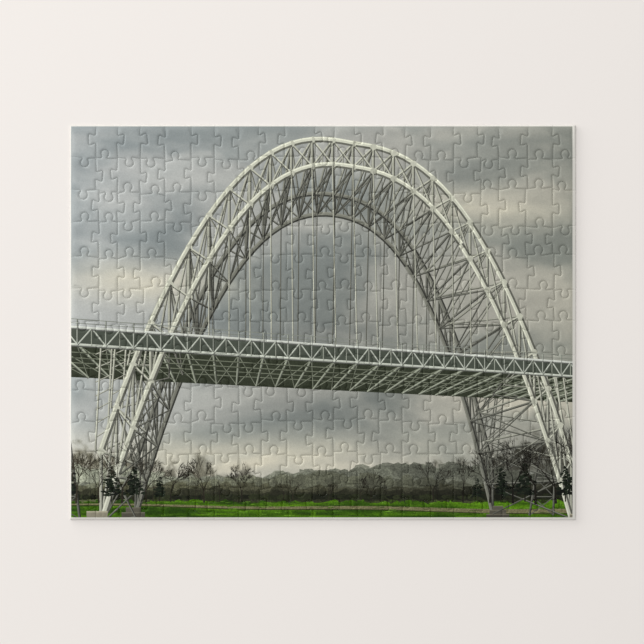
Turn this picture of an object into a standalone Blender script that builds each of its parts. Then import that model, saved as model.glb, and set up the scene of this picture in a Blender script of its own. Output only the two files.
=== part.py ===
"""A finished jigsaw puzzle lying flat, print side up.

252 pieces in 21 columns and 12 rows, die-cut from one printed board. The solids are 42 blocks of
six interlocked pieces, three columns by two rows, so every second level cut and every third
upright cut is a real gap here. Metres, +Z up, +Y towards the top of the picture, origin under
the middle of the sheet.
"""

import math
import random
from collections import namedtuple

import bpy

# The board
SHEET_WIDTH = 0.375
SHEET_HEIGHT = 0.2925
BOARD_THICKNESS = 0.0020
COLUMNS = 21
ROWS = 12
BLOCK_COLUMNS = 3
BLOCK_ROWS = 2
CUT_GAP = 0.0003

# The knobs. Small fillets lead from the cut into the neck, and the neck's sides run straight to the
# rounded corners of the head. Level cuts have round heads, and upright cuts broad flat ones.
KnobStyle = namedtuple("KnobStyle", "neck head reach corner fillet head_steps")
ROUND_KNOB = KnobStyle(0.0041, 0.0062, 0.0069, 0.0031, 0.00095, 3)
FLAT_KNOB = KnobStyle(0.0056, 0.0078, 0.0051, 0.0011, 0.0008, 2)
FILLET_STEPS = 2
KNOB_SIZES = (0.94, 1.05)
KNOB_LEAN = math.radians(8)
KNOB_SHIFT = 0.0018
KNOB_ROOM = 0.0044
KNOBS_UP = 0.62
KNOB_DRAWS = 14

# How far the cuts wander from an even grid
UPRIGHT_DRIFT = 0.0015
DRIFT_KEPT = 0.6
STEP_CHANCE = 0.3
STEP_SIZES = (0.0010, 0.0028)
LEVEL_DRIFT = 0.0011
DRIFT_TURN = 0.55
LEVEL_JITTER = 0.0015
LEVEL_SLOPE = 0.0018
LEAST_STEP = 0.0006
CUT_SEED = 334

# The print's main colours, band by band from the top: colour, roughness
SKY_PRINT = ((0.36, 0.39, 0.38, 1.0), 0.42)
STEEL_PRINT = ((0.27, 0.28, 0.24, 1.0), 0.42)
MEADOW_PRINT = ((0.12, 0.17, 0.06, 1.0), 0.42)
BAND_OF_ROW = {
    "a": "printed_sky",
    "b": "printed_sky",
    "c": "printed_steel",
    "d": "printed_steel",
    "e": "printed_steel",
    "f": "printed_meadow",
}

COLUMN_PITCH = SHEET_WIDTH / COLUMNS
ROW_PITCH = SHEET_HEIGHT / ROWS
LEFT_EDGE = -SHEET_WIDTH / 2
BOTTOM_EDGE = -SHEET_HEIGHT / 2
QUARTER = math.pi / 2

Knob = namedtuple("Knob", "style x y angle size way")
LevelCut = namedtuple("LevelCut", "start end knob")


def arc(x, y, radius, first_turn, sweep, steps):
    """Points along an arc about (x, y), both its ends included."""
    turns = [first_turn + sweep * step / steps for step in range(steps + 1)]
    return [(x + radius * math.cos(turn), y + radius * math.sin(turn)) for turn in turns]


def knob_outline(style):
    """Points of a knob in its own axes: x along the cut, y out of it. It starts and ends on the cut."""
    base_x = style.neck / 2 + style.fillet
    corner_x, corner_y = style.head / 2 - style.corner, style.reach - style.corner
    run, rise = base_x - corner_x, corner_y - style.fillet
    facing = math.acos((style.fillet + style.corner) / math.hypot(run, rise))
    sweep = QUARTER + math.atan2(rise, run) - facing
    left = arc(-base_x, style.fillet, style.fillet, -QUARTER, sweep, FILLET_STEPS)
    left += arc(-corner_x, corner_y, style.corner, QUARTER + sweep, -sweep, style.head_steps)
    return left + [(-x, y) for x, y in reversed(left)]


def on_sheet(knob, along, out):
    """A place on the sheet, from its distance along the cut and out of it on the knob's side."""
    along *= knob.size
    out *= knob.size * knob.way
    cosine, sine = math.cos(knob.angle), math.sin(knob.angle)
    return (knob.x + along * cosine - out * sine, knob.y + along * sine + out * cosine)


def knob_points(knob):
    """The knob's outline on the sheet."""
    return [on_sheet(knob, along, out) for along, out in knob_outline(knob.style)]


def discs(knob):
    """Discs that cover the knob, its neck and the corners of its head, as (place, radius)."""
    style = knob.style
    corner_x, corner_y = style.head / 2 - style.corner, style.reach - style.corner
    corners = [(on_sheet(knob, x, corner_y), style.corner) for x in (-corner_x, corner_x)]
    return [(on_sheet(knob, 0.0, style.reach / 2), style.neck / 2), *corners]


def room_between(knob, others):
    """The least room between a knob and the knobs around it."""
    return min(
        math.dist(place, other_place) - radius - other_radius
        for place, radius in discs(knob)
        for other in others
        for other_place, other_radius in discs(other)
    )


def draw_uprights(die):
    """Where each upright cut stands in each row. It is straight, and here and there it steps aside."""
    places = {(0, row): LEFT_EDGE for row in range(ROWS)}
    places.update({(COLUMNS, row): -LEFT_EDGE for row in range(ROWS)})
    drift = 0.0
    for cut in range(1, COLUMNS):
        drift = DRIFT_KEPT * drift + die.uniform(-UPRIGHT_DRIFT, UPRIGHT_DRIFT)
        step = 0.0
        for row in range(ROWS):
            if die.random() < STEP_CHANCE:
                step = 0.0 if step else die.choice((-1, 1)) * die.uniform(*STEP_SIZES)
            places[cut, row] = LEFT_EDGE + cut * COLUMN_PITCH + drift + step
    return places


def draw_level_cuts(die, uprights):
    """Every level cut between two pieces of a column, with its knob near its middle."""
    cuts = {}
    for line in range(1, ROWS):
        phase = die.uniform(0, 2 * math.pi)
        for column in range(COLUMNS):
            left = max(uprights[column, line - 1], uprights[column, line])
            right = min(uprights[column + 1, line - 1], uprights[column + 1, line])
            middle = BOTTOM_EDGE + line * ROW_PITCH
            middle += LEVEL_DRIFT * math.sin(phase + DRIFT_TURN * column)
            middle += die.uniform(-LEVEL_JITTER, LEVEL_JITTER)
            start, end = (middle + LEVEL_SLOPE * die.uniform(-1, 1) ** 3 for _ in range(2))
            if column and abs(start - cuts[column - 1, line].end) < LEAST_STEP:
                start = cuts[column - 1, line].end
            shift = min(KNOB_SHIFT, max((right - left) / 2 - KNOB_ROOM, 0.0)) * die.uniform(-1, 1)
            lean, size = die.uniform(-KNOB_LEAN, KNOB_LEAN), die.uniform(*KNOB_SIZES)
            way = 1 if die.random() < KNOBS_UP else -1
            knob = Knob(ROUND_KNOB, (left + right) / 2 + shift, middle, lean, size, way)
            cuts[column, line] = LevelCut(start, end, knob)
    return cuts


def heights_at(level_cuts, cut, line):
    """The heights where the level cuts on the left and on the right of an upright cut meet it."""
    if line in (0, ROWS):
        return (BOTTOM_EDGE + line * ROW_PITCH,) * 2
    left, right = level_cuts.get((cut - 1, line)), level_cuts.get((cut, line))
    return (left.end if left else right.start, right.start if right else left.end)


def draw_upright_knobs(die, uprights, level_cuts):
    """Every knob on the upright cuts. Each is drawn several times, and the draw with the most room stays."""
    knobs = {}
    for cut in range(1, COLUMNS):
        for row in range(ROWS):
            corners = ((cut - 1, row), (cut, row), (cut - 1, row + 1), (cut, row + 1))
            near = [level_cuts[corner].knob for corner in corners if corner in level_cuts]
            if (cut - 1, row) in knobs:
                near.append(knobs[cut - 1, row])
            low, high = max(heights_at(level_cuts, cut, row)), min(heights_at(level_cuts, cut, row + 1))
            draws = []
            for _ in range(KNOB_DRAWS):
                y = (low + high) / 2 + die.uniform(-KNOB_SHIFT, KNOB_SHIFT)
                angle = QUARTER + die.uniform(-KNOB_LEAN, KNOB_LEAN)
                size, way = die.uniform(*KNOB_SIZES), die.choice((-1, 1))
                draws.append(Knob(FLAT_KNOB, uprights[cut, row], y, angle, size, way))
            knobs[cut, row] = max(draws, key=lambda knob: room_between(knob, near))
    return knobs


die = random.Random(CUT_SEED)
uprights = draw_uprights(die)
level_cuts = draw_level_cuts(die, uprights)
upright_knobs = draw_upright_knobs(die, uprights, level_cuts)
turns = {(cut, line): die.choice((0, 1)) for cut in range(COLUMNS + 1) for line in range(ROWS + 1)}


def crossing(cut, line):
    """An upright cut where level cuts meet it: their ends, labelled, and its own step aside, in order."""
    below_x, above_x = uprights[cut, max(line - 1, 0)], uprights[cut, min(line, ROWS - 1)]
    heights = heights_at(level_cuts, cut, line)
    turn_y, step = heights[turns[cut, line]], abs(above_x - below_x)
    stops = [(0.0, None, (below_x, turn_y)), (step, None, (above_x, turn_y))]
    for side, y, outer in zip(("left", "right"), heights, (min, max)):
        x = outer(below_x, above_x)
        if y < turn_y:
            stops.append((y - turn_y, (side, line), (below_x, y)))
        elif y > turn_y:
            stops.append((step + y - turn_y, (side, line), (above_x, y)))
        else:
            stops.append((abs(x - below_x), (side, line), (x, y)))
    return [(label, place) for _, label, place in sorted(stops, key=lambda stop: stop[0])]


def upright_line(cut):
    """A whole upright cut from the sheet's bottom to its top, as labels and places."""
    line = []
    for row in range(ROWS):
        line += crossing(cut, row)
        if (cut, row) in upright_knobs:
            line += [(None, place) for place in knob_points(upright_knobs[cut, row])]
    return line + crossing(cut, ROWS)


upright_lines = [upright_line(cut) for cut in range(COLUMNS + 1)]


def upright_path(cut, start, end):
    """The part of an upright cut from the end of one level cut to the end of another."""
    labels = [label for label, _ in upright_lines[cut]]
    first, last = sorted((labels.index(start), labels.index(end)))
    path = [place for _, place in upright_lines[cut][first : last + 1]]
    return path if labels[first] == start else path[::-1]


def level_knob(column, line):
    """The knob of a level cut, from left to right. The sheet's own edges have none."""
    return knob_points(level_cuts[column, line].knob) if (column, line) in level_cuts else []


def outline_of(first_column, end_column, first_row, end_row):
    """The cuts round some columns and rows of pieces, anticlockwise."""
    outline = []
    for column in range(first_column, end_column):
        outline += level_knob(column, first_row)
        if column + 1 < end_column:
            outline += upright_path(column + 1, ("left", first_row), ("right", first_row))
    outline += upright_path(end_column, ("left", first_row), ("left", end_row))
    for column in reversed(range(first_column, end_column)):
        outline += reversed(level_knob(column, end_row))
        if column > first_column:
            outline += upright_path(column, ("right", end_row), ("left", end_row))
    outline += upright_path(first_column, ("right", end_row), ("right", first_row))
    return [point for at, point in enumerate(outline) if math.dist(point, outline[at - 1]) > CUT_GAP / 2]


def inset(outline, distance):
    """The outline moved inwards by a distance, except along the sheet's own edges."""
    moved = []
    for at, (x, y) in enumerate(outline):
        before, after = outline[at - 1], outline[(at + 1) % len(outline)]
        normals = []
        for start, end in ((before, (x, y)), ((x, y), after)):
            length = math.dist(start, end)
            normals.append(((start[1] - end[1]) / length, (end[0] - start[0]) / length))
        (ax, ay), (bx, by) = normals
        share = distance / max(1 + ax * bx + ay * by, 0.5)
        on_side = math.isclose(abs(x), -LEFT_EDGE, abs_tol=1e-9)
        on_end = math.isclose(abs(y), -BOTTOM_EDGE, abs_tol=1e-9)
        moved.append((x if on_side else x + (ax + bx) * share, y if on_end else y + (ay + by) * share))
    return moved


def board_material(name, colour, roughness):
    material = bpy.data.materials.new(name)
    material.use_nodes = True
    shader = material.node_tree.nodes["Principled BSDF"]
    shader.inputs["Base Color"].default_value = colour
    shader.inputs["Roughness"].default_value = roughness
    shader.inputs["Metallic"].default_value = 0.0
    return material


def cut_block(name, outline, material):
    """A block of board: its outline drawn as a flat curve, filled and given the board's thickness."""
    curve = bpy.data.curves.new(name, "CURVE")
    curve.dimensions = "2D"
    curve.fill_mode = "BOTH"
    curve.extrude = BOARD_THICKNESS / 2
    spline = curve.splines.new("POLY")
    spline.points.add(len(outline) - 1)
    for point, (x, y) in zip(spline.points, outline):
        point.co = (x, y, 0.0, 1.0)
    spline.use_cyclic_u = True
    curve.materials.append(material)
    block = bpy.data.objects.new(name, curve)
    block.location.z = BOARD_THICKNESS / 2
    bpy.context.scene.collection.objects.link(block)


for old in list(bpy.data.objects):
    bpy.data.objects.remove(old)

materials = {
    "printed_sky": board_material("printed_sky", *SKY_PRINT),
    "printed_steel": board_material("printed_steel", *STEEL_PRINT),
    "printed_meadow": board_material("printed_meadow", *MEADOW_PRINT),
}
for letter, first_row in zip("fedcba", range(0, ROWS, BLOCK_ROWS)):
    for number, first_column in enumerate(range(0, COLUMNS, BLOCK_COLUMNS), start=1):
        block = outline_of(first_column, first_column + BLOCK_COLUMNS, first_row, first_row + BLOCK_ROWS)
        cut_block(f"pieces_{letter}{number}", inset(block, CUT_GAP / 2), materials[BAND_OF_ROW[letter]])
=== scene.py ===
"""The looks of a finished jigsaw puzzle that lies flat, picture side up.

Lengths on the sheet are in millimetres and are made metres where a mesh is made.
"""

import functools
import math
import random
from collections import namedtuple

import bpy
import numpy as np
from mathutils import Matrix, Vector
from mathutils.geometry import delaunay_2d_cdt


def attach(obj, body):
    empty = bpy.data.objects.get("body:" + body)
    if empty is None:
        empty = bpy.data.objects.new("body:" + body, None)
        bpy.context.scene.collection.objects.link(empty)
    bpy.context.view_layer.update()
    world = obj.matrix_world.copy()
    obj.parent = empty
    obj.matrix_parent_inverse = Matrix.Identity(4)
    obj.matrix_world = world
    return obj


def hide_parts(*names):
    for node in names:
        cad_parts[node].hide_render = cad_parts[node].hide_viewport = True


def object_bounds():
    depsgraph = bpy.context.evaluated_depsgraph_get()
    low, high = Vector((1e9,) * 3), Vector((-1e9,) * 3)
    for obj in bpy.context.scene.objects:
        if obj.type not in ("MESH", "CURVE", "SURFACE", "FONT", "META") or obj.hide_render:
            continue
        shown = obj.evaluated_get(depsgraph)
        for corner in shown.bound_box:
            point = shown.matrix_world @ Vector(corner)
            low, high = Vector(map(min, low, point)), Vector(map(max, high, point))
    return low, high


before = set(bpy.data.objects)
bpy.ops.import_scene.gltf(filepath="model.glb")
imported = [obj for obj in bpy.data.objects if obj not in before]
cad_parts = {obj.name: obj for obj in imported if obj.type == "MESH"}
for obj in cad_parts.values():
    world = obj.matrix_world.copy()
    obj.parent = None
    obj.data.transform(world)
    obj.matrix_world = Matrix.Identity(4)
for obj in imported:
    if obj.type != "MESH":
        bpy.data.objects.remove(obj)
cad_box = [list(corner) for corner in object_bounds()]

# The board
# Greyboard pressed from waste paper, 2 mm thick. White paper with the picture is pasted on its face
# and thin grey paper on its back, and all three show at the cut edges. The die rolls the face down
# along every cut, and its pads press the sheet's whole border down a little.
MM = 0.001
SHEET_WIDTH, SHEET_HEIGHT, BOARD_THICKNESS = (
    round((high - low) / MM, 3) for low, high in zip(*cad_box)
)
LEFT_EDGE, RIGHT_EDGE = -SHEET_WIDTH / 2, SHEET_WIDTH / 2
BOTTOM_EDGE, TOP_EDGE = -SHEET_HEIGHT / 2, SHEET_HEIGHT / 2
FACE_HEIGHT = 1.95
FACE_PAPER = 0.22
BACK_PAPER = 0.14
ROLL_WIDTH = 1.35
ROLL_DROP = 0.58
RIM_WIDTH = 4.6
RIM_DROP = 0.85
CORE_TONES = ((0.3, (0.29, 0.28, 0.255)), (0.72, (0.47, 0.455, 0.42)))
PAPER_TONES = ((0.3, (0.74, 0.73, 0.70)), (0.7, (0.82, 0.81, 0.785)))
BACK_EDGE_TONES = ((0.3, (0.36, 0.355, 0.34)), (0.7, (0.43, 0.425, 0.41)))
FIBRE_TONES = ((0.3, (0.33, 0.325, 0.31)), (0.52, (0.41, 0.405, 0.39)), (0.75, (0.47, 0.465, 0.45)))
MOTTLE_TONES = ((0.3, (0.37, 0.365, 0.35)), (0.7, (0.44, 0.435, 0.42)))


def plain_finish(name, roughness, shine):
    """A new material with its roughness and shine, as (material, node tree, shader)."""
    material = bpy.data.materials.new(name)
    material.use_nodes = True
    shader = material.node_tree.nodes["Principled BSDF"]
    shader.inputs["Roughness"].default_value = roughness
    shader.inputs["Specular IOR Level"].default_value = shine
    return material, material.node_tree, shader


def noise(tree, grain, detail=3.0, stretch=(1.0, 1.0, 1.0)):
    """Noise fixed to the piece, with a grain of so many millimetres, times its stretch."""
    place = tree.nodes.new("ShaderNodeTexCoord")
    mapping = tree.nodes.new("ShaderNodeMapping")
    mapping.inputs["Scale"].default_value = [1 / (grain * MM * side) for side in stretch]
    texture = tree.nodes.new("ShaderNodeTexNoise")
    texture.inputs["Scale"].default_value = 1.0
    texture.inputs["Detail"].default_value = detail
    tree.links.new(place.outputs["Object"], mapping.inputs["Vector"])
    tree.links.new(mapping.outputs["Vector"], texture.inputs["Vector"])
    return texture.outputs["Fac"]


def tones(tree, amount, stops):
    """A colour that runs through the stops, each (amount, colour)."""
    ramp = tree.nodes.new("ShaderNodeValToRGB")
    while len(ramp.color_ramp.elements) < len(stops):
        ramp.color_ramp.elements.new(1.0)
    for element, (at, colour) in zip(ramp.color_ramp.elements, stops):
        element.position = at
        element.color = (*colour, 1.0)
    tree.links.new(amount, ramp.inputs["Fac"])
    return ramp.outputs["Color"]


def feed(tree, socket, value):
    """Gives a socket its value, which is a number or another node's output."""
    if isinstance(value, bpy.types.NodeSocket):
        tree.links.new(value, socket)
    else:
        socket.default_value = value


def sums(tree, operation, *values):
    """One step of arithmetic on up to three values."""
    step = tree.nodes.new("ShaderNodeMath")
    step.operation = operation
    for socket, value in zip(step.inputs, values):
        feed(tree, socket, value)
    return step.outputs["Value"]


def mixed(tree, amount, first, second):
    """Two colours blended by an amount. Sockets 6 and 7 of a mix node are its colours."""
    blend = tree.nodes.new("ShaderNodeMix")
    blend.data_type = "RGBA"
    feed(tree, blend.inputs["Factor"], amount)
    tree.links.new(first, blend.inputs[6])
    tree.links.new(second, blend.inputs[7])
    return blend.outputs[2]


def roughen(tree, shader, height, depth):
    """Raises the surface by so many millimetres where the height is 1."""
    bump = tree.nodes.new("ShaderNodeBump")
    bump.inputs["Strength"].default_value = 1.0
    bump.inputs["Distance"].default_value = depth * MM
    tree.links.new(height, bump.inputs["Height"])
    tree.links.new(bump.outputs["Normal"], shader.inputs["Normal"])


def cut_edge_finish():
    """The cut through the board: grey paper, layered greyboard and white paper, from the back up."""
    material, tree, shader = plain_finish("cut_edge", 0.88, 0.25)
    layers = noise(tree, 0.16, 4.0, (9.0, 9.0, 1.0))
    flecks = noise(tree, 0.35, 2.0)
    core, paper = tones(tree, layers, CORE_TONES), tones(tree, flecks, PAPER_TONES)
    back = tones(tree, flecks, BACK_EDGE_TONES)
    place = tree.nodes.new("ShaderNodeTexCoord")
    axes = tree.nodes.new("ShaderNodeSeparateXYZ")
    tree.links.new(place.outputs["Object"], axes.inputs["Vector"])
    beyond = [
        sums(tree, "GREATER_THAN", sums(tree, "ABSOLUTE", axes.outputs[axis]), (edge - 0.1) * MM)
        for axis, edge in (("X", RIGHT_EDGE), ("Y", TOP_EDGE))
    ]
    at_border = sums(tree, "MAXIMUM", *beyond)
    foot = (FACE_HEIGHT - ROLL_DROP - FACE_PAPER) * MM
    paper_foot = sums(tree, "MULTIPLY_ADD", at_border, (ROLL_DROP - RIM_DROP) * MM, foot)
    above_back = sums(tree, "GREATER_THAN", axes.outputs["Z"], BACK_PAPER * MM)
    above_core = sums(tree, "GREATER_THAN", axes.outputs["Z"], paper_foot)
    colour = mixed(tree, above_core, mixed(tree, above_back, back, core), paper)
    tree.links.new(colour, shader.inputs["Base Color"])
    roughen(tree, shader, layers, 0.03)
    return material


def back_finish():
    """Plain grey paper, slightly uneven, with short darker fibres."""
    material, tree, shader = plain_finish("back_paper", 0.82, 0.3)
    fibres = noise(tree, 0.5, 3.0, (3.0, 1.0, 1.0))
    fine, broad = tones(tree, fibres, FIBRE_TONES), tones(tree, noise(tree, 6.0), MOTTLE_TONES)
    tree.links.new(mixed(tree, 0.5, fine, broad), shader.inputs["Base Color"])
    roughen(tree, shader, fibres, 0.02)
    return material


# The printed picture: sky and meadow
# A picture of no real place, printed in offset ink. It is painted here as shapes in the sheet's own
# millimetres, with colours as a printer states them, 0 to 255, over a cloudy sky and a green meadow.
HORIZON = -130.0
CLOUD_DARK = (137, 144, 140)
CLOUD_LIGHT = (179, 181, 173)
WISP_CONTRAST = (24, 24, 22)
HIGH_TINT = (-2, -2, 0)
SKY_LIGHT = (1.02, 1.01, 1.005)
SKY_DIMMING = (0.04, 0.055, 0.085)
CREAM = (222, 215, 192)
GLOW_COVER = 0.85
GRASS_DARK = (34, 62, 4)
GRASS_LIGHT = (86, 130, 16)
NOISE_REACH = 256
NOISE_LAYERS = 5
Patch = namedtuple("Patch", "middle_x middle_y wide tall strength")
STORM = Patch(0.0, -25.0, 118.0, 85.0, 0.13)
GLOWS = (
    Patch(-132.0, 30.0, 66.0, 15.0, 0.75),
    Patch(120.0, 84.0, 66.0, 14.0, 0.7),
    Patch(150.0, -50.0, 70.0, 20.0, 0.55),
    Patch(-70.0, -104.0, 170.0, 20.0, 0.9),
)


@functools.lru_cache(maxsize=None)
def noise_table(seed):
    """Random numbers on a grid, which soft_noise runs smoothly between."""
    return np.random.RandomState(seed).rand(NOISE_REACH, NOISE_REACH)


def soft_noise(x, y, seed):
    """Smooth noise from 0 to 1 with a pitch of 1."""
    table = noise_table(seed)
    column, row = np.floor(x).astype(int), np.floor(y).astype(int)
    across, up = x - column, y - row
    across, up = across * across * (3 - 2 * across), up * up * (3 - 2 * up)
    low, high = (
        table[column % NOISE_REACH, line % NOISE_REACH] * (1 - across)
        + table[(column + 1) % NOISE_REACH, line % NOISE_REACH] * across
        for line in (row, row + 1)
    )
    return low * (1 - up) + high * up


def cloud_noise(x, y, seed):
    """Noise from 0 to 1 in ever finer layers."""
    layers = [soft_noise(x * 2**n + 17 * n, y * 2**n, seed + n) / 2**n for n in range(NOISE_LAYERS)]
    return sum(layers) / sum(1 / 2**n for n in range(NOISE_LAYERS))


def eased(amount, low, high):
    """0 up to low, 1 from high on, and a smooth rise between them."""
    share = np.clip((amount - low) / (high - low), 0, 1)
    return share * share * (3 - 2 * share)


def between(first, second, share):
    """The colours at shares of the way from one colour to another."""
    return np.array(first) + (np.array(second) - np.array(first)) * share[:, None]


def soft_patch(x, y, patch):
    """An oval patch that fades out softly from its middle."""
    across, up = (x - patch.middle_x) / patch.wide, (y - patch.middle_y) / patch.tall
    return patch.strength * np.exp(-(across**2) - up**2)


def sky_tone(x, y):
    """Grey cloud with thin wisps, darkest behind the arch, and a few cream patches."""
    swirl = cloud_noise(x / 80, y / 50, 40)
    bank = cloud_noise(x / 105 + swirl, y / 36 + 0.9 * swirl, 11)
    wisps = cloud_noise(x / 38 + 2 * swirl, y / 12 + 1.4 * swirl, 23)
    tone = between(CLOUD_DARK, CLOUD_LIGHT, eased(bank, 0.32, 0.68))
    tone += (wisps - 0.5)[:, None] * np.array(WISP_CONTRAST)
    height = (y - HORIZON) / (TOP_EDGE - HORIZON)
    tone += eased(height - 0.0012 * x, 0.35, 1.1)[:, None] * np.array(HIGH_TINT)
    tone *= np.array(SKY_LIGHT) - np.array(SKY_DIMMING) * x[:, None] / RIGHT_EDGE
    tone *= 1 - soft_patch(x, y, STORM)[:, None]
    glow = sum(soft_patch(x, y, patch) for patch in GLOWS)
    glow = np.clip(glow * (0.45 + 1.1 * wisps), 0, 1) * GLOW_COVER
    return tone + (np.array(CREAM) - tone) * glow[:, None]


def meadow_tone(x, y):
    """Mown grass in long streaks."""
    streaks = cloud_noise(x / 22, y / 1.6, 71)
    patches = cloud_noise(x / 60, y / 7, 75)
    return between(GRASS_DARK, GRASS_LIGHT, eased(0.6 * streaks + 0.6 * patches, 0.35, 0.85))


SKY_GRAIN = 0.16
MEADOW_GRAIN = 0.9
WOODS_GRAIN = 1.0
Crown = namedtuple("Crown", "x y wide tall colour cover")
crowns = []


def add_haze(tone, grain, x, y):
    """The finest twigs of bare trees as a ragged haze in each crown."""
    ragged = 1.5 * (cloud_noise(x / 4, y / 4, 91) - 0.5)
    for crown in crowns:
        away = np.hypot((x - crown.x) / crown.wide, (y - crown.y) / crown.tall)
        share = crown.cover * eased(1 + ragged - away, 0.0, 0.8)[:, None]
        tone += (np.array(crown.colour) - tone) * share
        grain += (WOODS_GRAIN - grain) * share


def ground_tone(x, y):
    """The tone under all painted shapes, and how grainy it is."""
    below = (y < HORIZON)[:, None]
    tone = np.where(below, meadow_tone(x, y), sky_tone(x, y))
    grain = np.where(below, MEADOW_GRAIN, SKY_GRAIN)
    add_haze(tone, grain, x, y)
    return np.hstack((tone, grain))


# The printed picture: the bridge
# A steel arch bridge with a hung deck, in perspective from the meadow beside it. Its places are in
# metres, with x along the bridge, y across it away from the eye and z up.
Shape = namedtuple("Shape", "depth outline colour cover grain")
EYE = np.array((-25.0, -97.0, 4.5))
AHEAD = np.array((0.2055, 0.9787, 0.0))
ASIDE = np.array((AHEAD[1], -AHEAD[0], 0.0))
FOCAL = 335.0
THINNEST = 0.32
LEAST_AREA = 0.005
FROM_SUN = np.array((0.55, -0.83))
HALF_SPAN = 46.0
RISE = 72.0
PANELS = 26
DECK = 34.0
DECK_SIDE = 11.5
DECK_DEEP = 3.0
DECK_PANEL = 4.6
DECK_REACH = 92.0
STEEL = (200, 201, 183)
STEEL_GRAIN = 0.2
STONE = (146, 141, 122)
UNDERSIDE = (50, 55, 41)
SIDE_PLATE = (74, 80, 70)
STRINGERS_AT = (-7, -3.5, 0, 3.5, 7)
TRESTLES_AT = (-80, -62, 62, 80)
RIB_CHORD = 1.15
RIB_POST = 0.6
RIB_LATTICE = 0.42
RIB_STAY = 0.26
GUSSET_REACH = 0.7
RIB_TIE = 0.5
HUB_BAR = 0.34
CROSS_STAY = 0.3
HANGER = 0.27
COLUMN = 0.34
COLUMN_LACING = 0.2
TRESTLE_LEG = 0.62
TRESTLE_LACING = 0.26
TRESTLE_TIE = 0.32
STEP_HEIGHT = 1.1
Member = namedtuple("Member", "thick colour nearer")
CROSS_GIRDER = Member(0.5, (146, 151, 134), 4)
CROSS_BRACE = Member(0.24, (116, 121, 104), 3)
STRINGER = Member(0.26, (104, 109, 92), 3.5)
LOW_RIM = Member(0.62, (176, 180, 168), 13)
HIGH_RIM = Member(0.62, (186, 189, 180), 13)
LATTICE = Member(0.34, (178, 183, 170), 13)
STRUT = Member(0.22, (164, 169, 154), 13)
POST = Member(0.26, (172, 177, 164), 13.2)
RAIL = Member(0.14, (128, 132, 122), 13)
LOW_RAIL = Member(0.1, (118, 122, 112), 13)
shapes = []


def paint(depth, outline, colour, cover=1.0, grain=STEEL_GRAIN):
    """One flat shape of the picture. Nearer shapes, with less depth, lie over those behind them."""
    outline = [(float(x), float(y)) for x, y in outline]
    area = sum(ax * by - bx * ay for (ax, ay), (bx, by) in zip(outline, outline[1:] + outline[:1])) / 2
    if abs(area) > LEAST_AREA:
        shapes.append(Shape(depth, outline if area > 0 else outline[::-1], colour, cover, grain))


def shaded(colour, light):
    """A colour in a share of full light."""
    return tuple(channel * light for channel in colour)


def stroke(depth, start, end, wide_start, wide_end, colour, cover=1.0, grain=STEEL_GRAIN):
    """A straight stroke that may taper, also to a point."""
    (ax, ay), (bx, by) = start, end
    length = math.dist(start, end)
    across_x, across_y = (ay - by) / length / 2, (bx - ax) / length / 2
    corners = [(ax, ay, wide_start), (ax, ay, -wide_start), (bx, by, -wide_end)]
    if wide_end:
        corners.append((bx, by, wide_end))
    outline = [(x + across_x * wide, y + across_y * wide) for x, y, wide in corners]
    paint(depth, outline, colour, cover, grain)


def seen(place):
    """Where a place shows in the picture, and how far away it is."""
    ray = np.asarray(place, float) - EYE
    depth = float(ray @ AHEAD)
    return np.array((FOCAL * float(ray @ ASIDE) / depth, HORIZON + FOCAL * ray[2] / depth)), depth


def bar(start, end, thick, colour, nearer=0.0):
    """A bar, painted as if so many metres nearer, with a dark and a lit side where it is broad."""
    (a, depth_a), (b, depth_b) = seen(start), seen(end)
    length = math.dist(a, b)
    if length < 0.3:
        return
    wide_a = max(FOCAL * thick / depth_a, THINNEST)
    wide_b = max(FOCAL * thick / depth_b, THINNEST)
    depth = (depth_a + depth_b) / 2 - nearer
    level = abs(b[0] - a[0]) / length
    colour = shaded(colour, 0.93 + 0.12 * level)
    stroke(depth, a, b, wide_a, wide_b, colour)
    if wide_a + wide_b > 1.5:
        across = np.array((a[1] - b[1], b[0] - a[0])) / length
        if across @ FROM_SUN < 0:
            across = -across
        for offset, wide, light in ((0.32, 0.36, 0.5), (-0.34, 0.2, 1.14)):
            start, end = a + across * wide_a * offset, b + across * wide_b * offset
            stroke(depth - 0.01, start, end, wide_a * wide, wide_b * wide, shaded(colour, light))


def plate(corners, colour, nearer=0.0, grain=STEEL_GRAIN):
    """A flat plate of steel or masonry."""
    flat = [seen(corner) for corner in corners]
    depth = sum(away for _, away in flat) / len(flat)
    paint(depth - nearer, [place for place, _ in flat], colour, 1.0, grain)


def gusset(place, size, colour, nearer):
    """The six-sided plate where bars meet."""
    (x, y), depth = seen(place)
    reach = FOCAL * size / depth
    turns = [0.3 + math.radians(60) * corner for corner in range(6)]
    outline = [(x + reach * math.cos(turn), y + reach * math.sin(turn)) for turn in turns]
    paint(depth - nearer, outline, colour)


def panel_points():
    """The places along the arch where its bars meet, closer together towards its feet."""
    turns = [2 * panel / PANELS - 1 for panel in range(PANELS + 1)]
    return [HALF_SPAN * (0.62 * turn + 0.38 * math.sin(turn * math.pi / 2)) for turn in turns]


def low_chord(x):
    """The height of the arch's lower chord, a flat-topped curve."""
    return RISE * (1 - (abs(x) / HALF_SPAN) ** 2.3)


def high_chord(x):
    """The height of its upper chord, further from the lower one towards the feet."""
    return low_chord(x) + 4.8 + 7.5 * (abs(x) / HALF_SPAN) ** 1.6


def rib_point(x, side, chord):
    """A place on one of the two ribs, which spread apart towards their feet."""
    return (x, side * (8.0 + 6.5 * (abs(x) / HALF_SPAN) ** 1.5), chord(x))


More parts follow.
